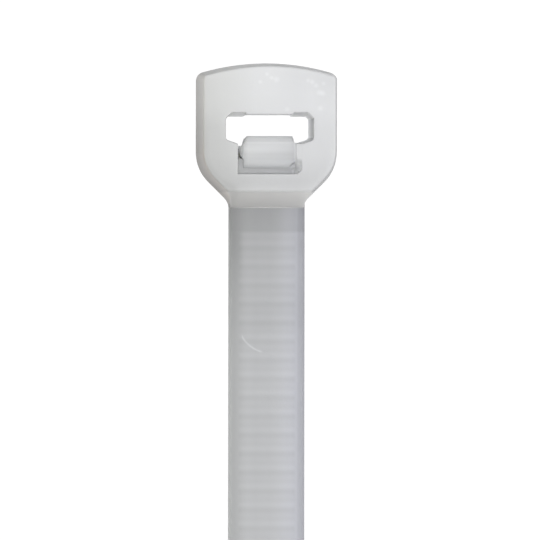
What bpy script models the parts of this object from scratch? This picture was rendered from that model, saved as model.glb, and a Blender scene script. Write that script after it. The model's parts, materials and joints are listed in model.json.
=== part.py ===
"""Miniature cable tie, moulded in one piece: a head with its pawl, a toothed strap and a tail.

The tie lies with its toothed side down. X runs across the strap, +Y runs from the tail tip to the
far end of the head, and Z is up. The origin is on the surface that the tie lies on, at the middle
of its length and width. Sizes are in metres.

Threaded through the head from below, the strap stands on end in the slot: its smooth face slides
on the slot's far wall, its two rails slide on the shoulders beside the pawl, and the pawl's teeth
catch the rack between the rails.
"""

import math

import bmesh
import bpy
from mathutils import Vector

# Strap
TIE_LENGTH = 0.100
STRAP_WIDTH = 0.00255
STRAP_THICKNESS = 0.00090
STRAP_CROWN = 0.00008
STRAP_EDGE_RADIUS = 0.00012
RAIL_CHAMFER = 0.00005
RAIL_WIDTH = 0.00025

# Rack of teeth between the rails
TOOTH_PITCH = 0.00063
TOOTH_DEPTH = 0.00028
TOOTH_CREST = 0.00008
TOOTH_RAKE = 0.00003
CREST_BELOW_RAIL = 0.00004
NECK_LENGTH = 0.00080

# Tail, thinner and narrower than the strap, with a rounded tip and cross grooves to grip
TAIL_LENGTH = 0.0200
TAIL_WIDTH = 0.00200
TAIL_THICKNESS = 0.00070
TIP_LENGTH = 0.00250
TIP_THICKNESS = 0.00045
TIP_SWEEP = math.radians(75)
GRIP_PITCH = 0.00100
GRIP_DEPTH = 0.00012
GRIP_MARGIN = 0.00030

# Head
HEAD_HEIGHT = 0.00330
SIDE_WALL = 0.00099
FRONT_WALL = 0.001125
END_WALL = 0.00176
HEAD_DRAFT = math.radians(2.3)
TOP_RADIUS = 0.00014
BASE_RADIUS = 0.00008
NECK_RADIUS = 0.00048
SHOULDER_ANGLE = math.radians(45)
SHOULDER_RADIUS = 0.00142
END_RADIUS = 0.00775
END_CORNER_RADIUS = 0.00030
RAMP_RUN = 0.00054

# Slot and the pocket that the pawl stands in
SLOT_SIDE_CLEARANCE = 0.000115
SLOT_CLEARANCE = 0.00003
SLOT_DRAFT = math.radians(1.5)
SLOT_CORNER_CUT = 0.00008
SLOT_CORNER_FLARE = 0.00012
SLOT_NEAR_CUT = 0.00007
SLOT_SHOULDER_SLANT = math.radians(18.6)
END_TAPER = 0.000066
END_TAPER_RUN = 0.00006
END_FLAT_WIDTH = 0.00152
FUNNEL_WIDTH = 0.00020
FUNNEL_DEPTH = 0.00030
LIP_CHAMFER = 0.00002
POCKET_LENGTH = 0.00101
POCKET_CLEARANCE = 0.00005
POCKET_FLOOR = 0.00095
POCKET_FLOOR_LENGTH = 0.00062
POCKET_SILL = 0.00042
SILL_BACK = 0.00010

# Pawl, with a narrowed nose, a chamfered ear on each flank and a slimmer back
PAWL_DROP = 0.00067
PAWL_BITE = 0.00014
PAWL_BACK_GAP = 0.000205
PAWL_HALF = 0.00086
EAR_HALF = 0.00097
EAR_BACK = 0.001757
EAR_CHAMFER = math.radians(40)
NOSE_HALF = 0.00080
NOSE_TOE = 0.00008
NOSE_LENGTH = 0.00019
NOSE_FLARE = 0.00007
NOSE_FLARE_DEPTH = 0.00038
PAWL_TOOTH_DEPTH = 0.00020
PAWL_TOOTH_RAKE = 0.00002
PAWL_LEAN = 0.00007
PAWL_TEETH = 3
BROW = ((0.00022, 0.0), (0.00013, 0.000016), (0.00005, 0.00005))
BROW_DROP = 0.000085
CROWN_RADIUS = 0.00118
CROWN_TILT = math.radians(20)
PAWL_BACK_RADIUS = 0.00040
PAWL_BACK_TILT = math.radians(55)
HINGE_THICKNESS = 0.00048

# Fineness of the curves, and how far a cutter runs past what it cuts
CROWN_STEPS = 8
EDGE_STEPS = 3
ROUND_STEPS = 4
CORNER_STEPS = 5
NECK_STEPS = 5
SHOULDER_STEPS = 8
END_STEPS = 14
TIP_STEPS = 8
OVERRUN = 0.00020
SMOOTH_ANGLE = math.radians(32)

# Sizes that follow from those above. Heights are above the surface that the tie lies on, and
# lengths inside the head run from the neck line, where the strap leaves the head.
STRAP_HALF = STRAP_WIDTH / 2
CHANNEL_HALF = STRAP_HALF - RAIL_WIDTH
ROOT_HEIGHT = CREST_BELOW_RAIL + TOOTH_DEPTH
POCKET_HALF = CHANNEL_HALF + POCKET_CLEARANCE
SLOT_BASE_HALF = STRAP_HALF + SLOT_SIDE_CLEARANCE
HEAD_HALF = SLOT_BASE_HALF + SIDE_WALL
SLOT_NEAR = FRONT_WALL + POCKET_LENGTH
SLOT_RAIL_SEAT = SLOT_NEAR + (STRAP_HALF - POCKET_HALF) * math.tan(SLOT_SHOULDER_SLANT)
SLOT_FAR = SLOT_RAIL_SEAT + STRAP_THICKNESS + SLOT_CLEARANCE
HEAD_LENGTH = SLOT_FAR + END_WALL
NECK_LINE = TIE_LENGTH / 2 - HEAD_LENGTH
RAMP_FOOT = STRAP_THICKNESS - STRAP_CROWN - STRAP_EDGE_RADIUS
TAIL_START = TAIL_LENGTH - TIE_LENGTH / 2
TIP_START = TIP_LENGTH - TIE_LENGTH / 2
PAWL_TOP = HEAD_HEIGHT - PAWL_DROP
PAWL_TIP = SLOT_FAR - (STRAP_THICKNESS - CREST_BELOW_RAIL) + PAWL_BITE
PAWL_BACK = FRONT_WALL + PAWL_BACK_GAP
BACK_BEND = PAWL_BACK_RADIUS * (math.sin(PAWL_BACK_TILT) - math.sin(CROWN_TILT))
CROWN_START = PAWL_BACK + BACK_BEND + CROWN_RADIUS * math.sin(CROWN_TILT)

# Natural nylon: milky, with a soft shine
NYLON_COLOUR = (0.78, 0.79, 0.80, 1.0)
NYLON_ROUGHNESS = 0.38


def arc(centre, radius, start, end, steps):
    """Points along a flat arc, both ends included, with angles from +X towards +Y."""
    points = []
    for step in range(steps + 1):
        angle = start + (end - start) * step / steps
        points.append((centre[0] + radius * math.cos(angle), centre[1] + radius * math.sin(angle)))
    return points


def mirrored(half):
    """The whole outline from its right half, which is listed from the near end to the far end."""
    left = [(-across, along) for across, along in reversed(half)]
    if left[0] == half[-1]:
        left = left[1:]
    return half + left


def loft(rings):
    """A closed solid through rings of equal point count, made by extruding the first one on."""
    shape = bmesh.new()
    start = shape.faces.new([shape.verts.new(place) for place in rings[0]])
    cap = start
    for ring in rings[1:]:
        extruded = bmesh.ops.extrude_face_region(shape, geom=[cap])["geom"]
        if cap is not start:
            bmesh.ops.delete(shape, geom=[cap], context="FACES_ONLY")
        cap = next(item for item in extruded if isinstance(item, bmesh.types.BMFace))
        for vertex, place in zip(cap.verts, ring):
            vertex.co = place
    bmesh.ops.recalc_face_normals(shape, faces=shape.faces)
    return shape


def trim(shape, place, direction):
    """Cut a solid with a plane, drop the side that the direction points to and close the cut."""
    everything = shape.verts[:] + shape.edges[:] + shape.faces[:]
    cut = bmesh.ops.bisect_plane(
        shape,
        geom=everything,
        dist=1e-9,
        plane_co=place,
        plane_no=direction,
        clear_outer=True,
    )["geom_cut"]
    rim = [item for item in cut if isinstance(item, bmesh.types.BMEdge)]
    bmesh.ops.contextual_create(shape, geom=rim)
    bmesh.ops.recalc_face_normals(shape, faces=shape.faces)


def add_object(name, shape):
    """Turn a bmesh into an object in the scene."""
    mesh = bpy.data.meshes.new(name)
    shape.to_mesh(mesh)
    shape.free()
    piece = bpy.data.objects.new(name, mesh)
    bpy.context.scene.collection.objects.link(piece)
    return piece


def combine(body, tool, operation):
    """Add a solid to the body, or cut it away, and keep the solid as a hidden guide."""
    modifier = body.modifiers.new(tool.name, "BOOLEAN")
    modifier.operation = operation
    modifier.solver = "EXACT"
    modifier.object = tool
    tool.hide_render = True
    tool.display_type = "WIRE"


def head_outline(inset):
    """The head's outline in plan, drawn in by an inset that keeps every arc tangent."""
    half = HEAD_HALF - inset
    neck_half = STRAP_HALF - inset
    neck_radius = NECK_RADIUS + inset
    shoulder_radius = SHOULDER_RADIUS - inset
    end_radius = END_RADIUS - inset
    corner_radius = END_CORNER_RADIUS - inset

    turn = 1 - math.cos(SHOULDER_ANGLE)
    slope_across = half - neck_half - (neck_radius + shoulder_radius) * turn
    slope_along = slope_across / math.tan(SHOULDER_ANGLE)
    arcs_along = (neck_radius + shoulder_radius) * math.sin(SHOULDER_ANGLE)
    side_start = arcs_along + slope_along

    end_centre = HEAD_LENGTH - END_RADIUS
    corner_across = half - corner_radius
    corner_reach = end_radius - corner_radius
    corner_angle = math.acos(corner_across / corner_reach)
    corner_along = end_centre + corner_reach * math.sin(corner_angle)

    neck = arc(
        (neck_half + neck_radius, 0), neck_radius, math.pi, math.pi - SHOULDER_ANGLE, NECK_STEPS
    )
    shoulder = arc(
        (half - shoulder_radius, side_start), shoulder_radius, -SHOULDER_ANGLE, 0, SHOULDER_STEPS
    )
    corner = arc((corner_across, corner_along), corner_radius, 0, corner_angle, CORNER_STEPS)
    end = arc((0, end_centre), end_radius, corner_angle, math.pi / 2, END_STEPS // 2)
    right = neck + shoulder + corner + end[1:-1] + [(0.0, end_centre + end_radius)]
    return mirrored(right)


def head_levels():
    """Heights and insets of the head's rings: rounded foot, drafted wall, rounded top edge."""
    levels = []
    for step in range(ROUND_STEPS + 1):
        angle = math.pi / 2 * step / ROUND_STEPS
        levels.append((BASE_RADIUS * (1 - math.cos(angle)), BASE_RADIUS * (1 - math.sin(angle))))
    for step in range(ROUND_STEPS + 1):
        angle = math.pi / 2 * step / ROUND_STEPS
        height = HEAD_HEIGHT - TOP_RADIUS * (1 - math.sin(angle))
        drawn_in = (height - BASE_RADIUS) * math.tan(HEAD_DRAFT)
        levels.append((height, drawn_in + TOP_RADIUS * (1 - math.cos(angle))))
    return levels


def make_head():
    """The head's block, without its slot, sloped down to the strap on its near side."""
    rings = []
    for height, inset in head_levels():
        outline = head_outline(inset)
        rings.append([Vector((across, NECK_LINE + along, height)) for across, along in outline])
    shape = loft(rings)
    ramp_rise = HEAD_HEIGHT - RAMP_FOOT
    trim(shape, Vector((0, NECK_LINE, RAMP_FOOT)), Vector((0, -ramp_rise, RAMP_RUN)))
    return add_object("head_block", shape)


def strap_ring(along, half, thickness):
    """One cross-section of the strap: flat below, rounded edges and a crowned upper face."""
    crown = STRAP_CROWN * (half / STRAP_HALF) ** 2
    flank = half - STRAP_EDGE_RADIUS
    shoulder = thickness - crown
    right = [(half - RAIL_CHAMFER, 0.0), (half, RAIL_CHAMFER)]
    edge_centre = (flank, shoulder - STRAP_EDGE_RADIUS)
    right += arc(edge_centre, STRAP_EDGE_RADIUS, 0, math.pi / 2, EDGE_STEPS)
    for step in range(1, CROWN_STEPS // 2):
        share = 1 - 2 * step / CROWN_STEPS
        right.append((flank * share, thickness - crown * share**2))
    right.append((0.0, thickness))
    return [Vector((across, along, height)) for across, height in mirrored(right)]


def make_strap():
    """The strap and tail without their teeth and grooves, run well into the head."""
    tail_half = TAIL_WIDTH / 2
    rings = [
        strap_ring(NECK_LINE + FRONT_WALL / 2, STRAP_HALF, STRAP_THICKNESS),
        strap_ring(TAIL_START, STRAP_HALF, STRAP_THICKNESS),
        strap_ring(TIP_START, tail_half, TAIL_THICKNESS),
    ]
    for step in range(1, TIP_STEPS + 1):
        angle = TIP_SWEEP * step / TIP_STEPS
        along = TIP_START - TIP_LENGTH * math.sin(angle) / math.sin(TIP_SWEEP)
        thinning = (TAIL_THICKNESS - TIP_THICKNESS) * (1 - math.cos(angle))
        rings.append(strap_ring(along, tail_half * math.cos(angle), TAIL_THICKNESS - thinning))
    return add_object("strap_blank", loft(rings))


def across_prism(profile, half):
    """A solid from a profile of lengths and heights, drawn out across the strap."""
    return loft([[Vector((side, along, height)) for along, height in profile] for side in (-half, half)])


def make_rack_cutter():
    """What the mould leaves out between the rails: one sawtooth profile, steep towards the head."""
    rack_start = NECK_LINE - NECK_LENGTH
    teeth = int((rack_start - TAIL_START) / TOOTH_PITCH)
    rack_end = rack_start - teeth * TOOTH_PITCH
    profile = [(rack_end, -OVERRUN), (rack_start, -OVERRUN)]
    for tooth in range(teeth):
        root = rack_start - tooth * TOOTH_PITCH
        crest = root - TOOTH_RAKE
        profile.append((root, ROOT_HEIGHT))
        profile.append((crest, CREST_BELOW_RAIL))
        profile.append((crest - TOOTH_CREST, CREST_BELOW_RAIL))
    profile.append((rack_end, ROOT_HEIGHT))
    return add_object("rack_cutter", across_prism(profile, CHANNEL_HALF))


def make_grip_cutter():
    """Shallow cross grooves in both faces of the tail, to hold it by."""
    shape = bmesh.new()
    grooves = int((TAIL_LENGTH - TIP_LENGTH) / GRIP_PITCH)
    width = GRIP_PITCH / 2
    thinning = (STRAP_THICKNESS - TAIL_THICKNESS) / (TAIL_START - TIP_START)
    for groove in range(grooves):
        along = TAIL_START - (groove + 0.5) * GRIP_PITCH
        face = STRAP_THICKNESS - (TAIL_START - along) * thinning
        for level, way in ((face, 1), (0.0, -1)):
            mouth = level + way * OVERRUN
            profile = [(along - width, mouth), (along, level - way * GRIP_DEPTH), (along + width, mouth)]
            prism = across_prism(profile, TAIL_WIDTH / 2 - GRIP_MARGIN)
            mesh = bpy.data.meshes.new("groove")
            prism.to_mesh(mesh)
            prism.free()
            shape.from_mesh(mesh)
            bpy.data.meshes.remove(mesh)
    return add_object("grip_cutter", shape)


def slot_outline(height, widening):
    """The slot in plan: shoulders by the pawl, cut corners and a straight run at its far wall."""
    near = SLOT_NEAR - widening
    side = SLOT_BASE_HALF + height * math.tan(SLOT_DRAFT) + widening
    turn = side - SLOT_NEAR_CUT
    shoulder = near + (turn - widening - POCKET_HALF) * math.tan(SLOT_SHOULDER_SLANT)
    middle = SLOT_FAR + widening
    far = middle + END_TAPER * (2 * height / HEAD_HEIGHT - 1)
    cut = SLOT_CORNER_CUT + SLOT_CORNER_FLARE * height / HEAD_HEIGHT
    flat_half = END_FLAT_WIDTH / 2
    right = [(POCKET_HALF, near - SILL_BACK), (POCKET_HALF, near)]
    right += [(turn, shoulder), (side, shoulder + SLOT_NEAR_CUT)]
    right += [(side, far - cut), (side - cut, far)]
    right += [(flat_half + END_TAPER_RUN, far), (flat_half, middle)]
    return mirrored(right)


def make_slot_cutter():
    """The slot right through the head, flared at its mouth below and just broken at its lip."""
    rings = []
    levels = (
        (-OVERRUN, FUNNEL_WIDTH),
        (0.0, FUNNEL_WIDTH),
        (FUNNEL_DEPTH, 0.0),
        (HEAD_HEIGHT - LIP_CHAMFER, 0.0),
        (HEAD_HEIGHT, LIP_CHAMFER),
        (HEAD_HEIGHT + OVERRUN, LIP_CHAMFER + OVERRUN),
    )
    for height, widening in levels:
        outline = slot_outline(height, widening)
        rings.append([Vector((across, NECK_LINE + along, height)) for across, along in outline])
    return add_object("slot_cutter", loft(rings))


def make_pocket_cutter():
    """The pocket around and behind the pawl, open above, with a floor that drops to the slot."""
    into_slot = SLOT_NEAR + SLOT_CLEARANCE + STRAP_THICKNESS / 2
    drop = POCKET_FLOOR - POCKET_SILL
    floor_end = FRONT_WALL + POCKET_FLOOR_LENGTH
    slope_run = SLOT_NEAR - floor_end
    sill_height = POCKET_FLOOR - drop * (into_slot - floor_end) / slope_run
    top = HEAD_HEIGHT + OVERRUN
    profile = [(FRONT_WALL, top), (FRONT_WALL, POCKET_FLOOR), (floor_end, POCKET_FLOOR)]
    profile += [(into_slot, sill_height), (into_slot, top)]
    profile = [(NECK_LINE + along, height) for along, height in profile]
    return add_object("pocket_cutter", across_prism(profile, POCKET_HALF))


def pawl_profile():
    """The pawl from the side: a wedge on a thin hinge, crowned above, with teeth to the slot."""
    quarter = math.pi / 2
    crown_centre = (CROWN_START, PAWL_TOP - CROWN_RADIUS)
    bend = quarter + CROWN_TILT
    crown = arc(crown_centre, CROWN_RADIUS, bend, quarter, ROUND_STEPS)
    back_centre = (
        crown[0][0] - PAWL_BACK_RADIUS * math.cos(bend),
        crown[0][1] - PAWL_BACK_RADIUS * math.sin(bend),
    )
    profile = arc(back_centre, PAWL_BACK_RADIUS, quarter + PAWL_BACK_TILT, bend, EDGE_STEPS)
    profile += crown[1:]
    profile += [(PAWL_TIP - behind, PAWL_TOP - fall) for behind, fall in BROW]
    tip_height = PAWL_TOP - BROW_DROP
    for tooth in range(PAWL_TEETH):
        crest = PAWL_TIP - tooth * PAWL_LEAN
        height = tip_height - tooth * TOOTH_PITCH
        if tooth:
            profile.append((crest - PAWL_TOOTH_DEPTH, height + PAWL_TOOTH_RAKE))
        profile.append((crest, height))
    foot_height = POCKET_SILL / 2
    lowest = tip_height - (PAWL_TEETH - 1) * TOOTH_PITCH
    foot = SLOT_NEAR - PAWL_TOOTH_DEPTH
    share = (POCKET_FLOOR - foot_height) / (lowest - foot_height)
    front_at_floor = foot + (crest - foot) * share
    hinge_back = front_at_floor - HINGE_THICKNESS
    profile += [(foot, foot_height), (hinge_back, foot_height), (hinge_back, POCKET_FLOOR)]
    return profile


def make_flank_cutter(name, side, plans):
    """What narrows one flank of the pawl, from plans and their heights, lowest first."""
    rings = []
    for plan, height in plans:
        rings.append([Vector((side * x, NECK_LINE + y, height)) for x, y in plan])
    return add_object(name, loft(rings))


def nose_plans():
    """What is dropped beside the nose, in front of a 45 degree shoulder; its top edge is slanted."""
    outer = 2 * EAR_HALF
    start = PAWL_TIP - NOSE_LENGTH
    front = PAWL_TIP + OVERRUN
    flare_above = -NOSE_FLARE * OVERRUN / NOSE_FLARE_DEPTH
    levels = (
        (POCKET_FLOOR - OVERRUN, NOSE_FLARE),
        (PAWL_TOP - NOSE_FLARE_DEPTH, NOSE_FLARE),
        (PAWL_TOP + OVERRUN, flare_above),
    )
    plans = []
    for height, flare in levels:
        half = NOSE_HALF + flare
        plan = [(half, start - flare), (half - NOSE_TOE, front), (outer, front)]
        plans.append((plan + [(outer, start + NOSE_HALF - outer)], height))
    return plans


def back_plans():
    """What is dropped beside the pawl's back, behind a 45 degree shoulder at the ear."""
    outer = EAR_HALF + OVERRUN
    rear = EAR_BACK - (EAR_HALF - PAWL_HALF)
    behind = FRONT_WALL - OVERRUN
    plan = [(PAWL_HALF, behind), (PAWL_HALF, rear), (outer, rear + outer - PAWL_HALF)]
    plan.append((outer, behind))
    return [(plan, POCKET_FLOOR - OVERRUN), (plan, PAWL_TOP + OVERRUN)]


def make_pawl():
    """The pawl: full width at its ears, slimmer behind them, narrow at its nose."""
    profile = [(NECK_LINE + along, height) for along, height in pawl_profile()]
    shape = across_prism(profile, POCKET_HALF + OVERRUN)
    for half, lean in ((EAR_HALF, 0.0), (PAWL_HALF, EAR_CHAMFER)):
        for side in (1, -1):
            place = Vector((side * half, 0, PAWL_TOP))
            way = Vector((side * math.cos(lean), 0, math.sin(lean)))
            trim(shape, place, way)
    pawl = add_object("pawl", shape)
    for side, word in ((1, "right"), (-1, "left")):
        combine(pawl, make_flank_cutter(f"nose_{word}", side, nose_plans()), "DIFFERENCE")
        combine(pawl, make_flank_cutter(f"back_{word}", side, back_plans()), "DIFFERENCE")
    return pawl


def settle(body):
    """Apply the body's cuts, drop the guides and shade the result smooth over its gentle edges."""
    depsgraph = bpy.context.evaluated_depsgraph_get()
    mesh = bpy.data.meshes.new_from_object(body.evaluated_get(depsgraph))
    body.modifiers.clear()
    body.data = mesh
    mesh.name = body.name
    for guide in list(bpy.data.objects):
        if guide is not body:
            bpy.data.objects.remove(guide)
    mesh.shade_smooth()
    mesh.set_sharp_from_angle(angle=SMOOTH_ANGLE)
    body.modifiers.new("flat_faces_first", "WEIGHTED_NORMAL").keep_sharp = True


def nylon():
    """Natural nylon, the colour and shine of the whole moulding."""
    material = bpy.data.materials.new("natural_nylon")
    material.use_nodes = True
    surface = material.node_tree.nodes["Principled BSDF"]
    surface.inputs["Base Color"].default_value = NYLON_COLOUR
    surface.inputs["Roughness"].default_value = NYLON_ROUGHNESS
    surface.inputs["Metallic"].default_value = 0.0
    return material


def main():
    """Build the tie as one solid."""
    for old in list(bpy.data.objects):
        bpy.data.objects.remove(old)
    tie = make_head()
    tie.name = "cable_tie"
    tie.data.materials.append(nylon())
    combine(tie, make_strap(), "UNION")
    combine(tie, make_slot_cutter(), "DIFFERENCE")
    combine(tie, make_pocket_cutter(), "DIFFERENCE")
    combine(tie, make_pawl(), "UNION")
    combine(tie, make_rack_cutter(), "DIFFERENCE")
    combine(tie, make_grip_cutter(), "DIFFERENCE")
    settle(tie)


if __name__ == "__main__":
    main()
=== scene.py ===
"""The looks of a miniature cable tie in natural nylon, lying toothed side down on a white table.

The moulding is worked in millimetres on a bench whose axes are the frame's own: X across the strap,
Y from the tail tip to the far end of the head, Z up from the table. When it is finished it is
shrunk to metres, so it lies exactly where the CAD solid lies, and it stands for that solid.
"""

import json
import logging
import math
from collections.abc import Callable, Iterator, Sequence
from contextlib import contextmanager
from dataclasses import dataclass
from enum import Enum

import bpy
from mathutils import Matrix, Vector

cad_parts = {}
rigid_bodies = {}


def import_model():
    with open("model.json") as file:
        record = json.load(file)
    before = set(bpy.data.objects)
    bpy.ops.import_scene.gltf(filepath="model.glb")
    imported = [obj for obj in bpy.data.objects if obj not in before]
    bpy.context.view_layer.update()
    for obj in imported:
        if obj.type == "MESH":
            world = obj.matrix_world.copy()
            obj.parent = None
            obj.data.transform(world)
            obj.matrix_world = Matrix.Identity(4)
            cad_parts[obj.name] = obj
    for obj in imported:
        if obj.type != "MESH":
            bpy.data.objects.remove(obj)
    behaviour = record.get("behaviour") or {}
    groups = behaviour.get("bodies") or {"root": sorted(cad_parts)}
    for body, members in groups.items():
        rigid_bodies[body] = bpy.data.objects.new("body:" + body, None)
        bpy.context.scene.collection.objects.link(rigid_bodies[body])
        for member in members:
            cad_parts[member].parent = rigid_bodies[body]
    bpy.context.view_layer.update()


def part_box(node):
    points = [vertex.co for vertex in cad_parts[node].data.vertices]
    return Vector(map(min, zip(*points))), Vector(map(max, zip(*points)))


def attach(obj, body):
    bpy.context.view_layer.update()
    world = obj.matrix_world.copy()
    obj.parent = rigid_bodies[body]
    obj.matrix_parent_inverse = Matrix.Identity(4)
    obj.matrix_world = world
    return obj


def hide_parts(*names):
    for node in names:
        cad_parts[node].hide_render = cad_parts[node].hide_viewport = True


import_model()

METRE = 1000.0
TINY = 1e-4
QUARTER = math.pi / 2
LOG = logging.getLogger("cable_tie")

Pair = tuple[float, float]
Triple = tuple[float, float, float]
Stops = tuple[Pair, ...]
Plan = list[Pair]
Ring = list[Vector]
Item = bpy.types.Object
Socket = bpy.types.NodeSocket


class Join(Enum):
    """How a shaped tool meets the body."""

    ADD = "UNION"
    CUT = "DIFFERENCE"


def arc(centre: Pair, radius: float, start: float, end: float, steps: int) -> Plan:
    """Points along a flat arc, both ends included.

    Args:
        centre: Middle of the arc.
        radius: Radius in millimetres.
        start: First angle in radians, from the first axis towards the second.
        end: Last angle in radians.
        steps: Number of stretches.

    Returns:
        The points in order.
    """
    angles = [start + (end - start) * step / steps for step in range(steps + 1)]
    return [(centre[0] + radius * math.cos(a), centre[1] + radius * math.sin(a)) for a in angles]


def mirrored(half: Plan) -> Plan:
    """A closed outline from its right half, near end first; a middle point is kept once."""
    left = [(-across, along) for across, along in reversed(half)]
    return half + (left[1:] if left[0] == half[-1] else left)


def aimed(toward: Vector) -> Matrix:
    """Axes of a lamp or camera that lies in a direction and looks back, its top towards +Y."""
    sideways = Vector((0, 1, 0)).cross(toward).normalized()
    return Matrix((sideways, toward.cross(sideways), toward)).transposed()


class Bench:
    """The hand tools: each one works on objects with Blender's own operators."""

    @staticmethod
    @contextmanager
    def editing() -> Iterator[None]:
        """Edit mode for as long as a with block lasts."""
        bpy.ops.object.mode_set(mode="EDIT")
        yield
        bpy.ops.object.mode_set(mode="OBJECT")

    @staticmethod
    def take(*pieces: Item) -> None:
        """Select some objects and nothing else.

        Args:
            *pieces: The objects, the first of which becomes the active one.
        """
        for other in bpy.context.view_layer.objects:
            other.select_set(other in pieces)
        bpy.context.view_layer.objects.active = pieces[0]

    @classmethod
    def gather(cls, *pieces: Item) -> Item:
        """Join objects into one.

        Args:
            *pieces: The objects, two or more.

        Returns:
            The first of them, which now holds them all.
        """
        cls.take(*pieces)
        bpy.ops.object.join()
        return pieces[0]

    @staticmethod
    def pick(piece: Item, wanted: Callable[[Vector], bool]) -> None:
        """Select corners by their place, with the edges between them.

        Args:
            piece: The object.
            wanted: Says of a place whether a corner there is selected.
        """
        corners = piece.data.vertices
        for face in piece.data.polygons:
            face.select = False
        for corner in corners:
            corner.select = wanted(corner.co)
        for edge in piece.data.edges:
            edge.select = all(corners[number].select for number in edge.vertices)

    @staticmethod
    def level_axis(rings: Sequence[Ring]) -> int:
        """Number of the axis on which every ring is level.

        Args:
            rings: The rings of a loft.

        Returns:
            0, 1 or 2.
        """
        first, last = rings[0], rings[-1]
        for axis in range(3):
            apart = abs(first[0][axis] - last[0][axis]) > TINY
            if apart and all(abs(place[axis] - first[0][axis]) < TINY for place in first):
                return axis
        raise ValueError("the rings aren't level")

    @classmethod
    def loft(cls, name: str, rings: Sequence[Ring]) -> Item:
        """Bridge rings of equal corner count into a closed solid.

        Args:
            name: Name of the new object.
            rings: The closed rings in order, each of which is a circle moved onto its outline.

        Returns:
            The solid, with flat ends.
        """
        circles = []
        for ring in rings:
            bpy.ops.mesh.primitive_circle_add(vertices=len(ring))
            circle = bpy.context.active_object
            for corner, place in zip(circle.data.vertices, ring):
                corner.co = circle.matrix_world.inverted() @ place
            circles.append(circle)
        solid = cls.gather(*circles)
        solid.name = name
        bpy.ops.object.transform_apply(location=True, rotation=True, scale=True)
        axis = cls.level_axis(rings)
        places = [ring[0][axis] for ring in rings]
        for levels in (*zip(places, places[1:]), places[:1], places[-1:]):
            cls.pick(solid, lambda place: any(abs(place[axis] - at) < TINY for at in levels))
            with cls.editing():
                if len(levels) > 1:
                    bpy.ops.mesh.bridge_edge_loops()
                else:
                    bpy.ops.mesh.edge_face_add()
        cls.face_outwards(solid)
        return solid

    @classmethod
    def across(cls, name: str, profile: Plan, half: float) -> Item:
        """A prism drawn out across the tie, from points along and up and half its width."""
        return cls.loft(name, [[Vector((side, y, z)) for y, z in profile] for side in (-half, half)])

    @classmethod
    def face_outwards(cls, piece: Item) -> None:
        """Turn every face of a closed solid outwards.

        Args:
            piece: The solid.
        """
        cls.take(piece)
        with cls.editing():
            bpy.ops.mesh.select_all(action="SELECT")
            bpy.ops.mesh.normals_make_consistent(inside=False)

    @classmethod
    def shave(cls, piece: Item, place: Vector, way: Vector) -> None:
        """Cut a solid with a plane and close the cut.

        Args:
            piece: The solid.
            place: A point on the plane.
            way: The side to drop.
        """
        cls.take(piece)
        with cls.editing():
            bpy.ops.mesh.select_all(action="SELECT")
            bpy.ops.mesh.bisect(plane_co=place, plane_no=way, use_fill=True, clear_outer=True)
        cls.face_outwards(piece)

    @classmethod
    def apply(cls, piece: Item, kind: str, **settings: object) -> None:
        """Add a modifier, set it and apply it.

        Args:
            piece: The object.
            kind: The modifier's kind.
            **settings: Its settings by name.
        """
        cls.take(piece)
        modifier = piece.modifiers.new(kind.lower(), kind)
        for setting, value in settings.items():
            setattr(modifier, setting, value)
        bpy.ops.object.modifier_apply(modifier=modifier.name)

    @classmethod
    def combine(cls, body: Item, tool: Item, join: Join) -> None:
        """Add a tool to the body or cut it away, and put the tool in the bin."""
        cls.apply(body, "BOOLEAN", operation=join.value, solver="EXACT", object=tool)
        bpy.data.objects.remove(tool)


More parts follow.
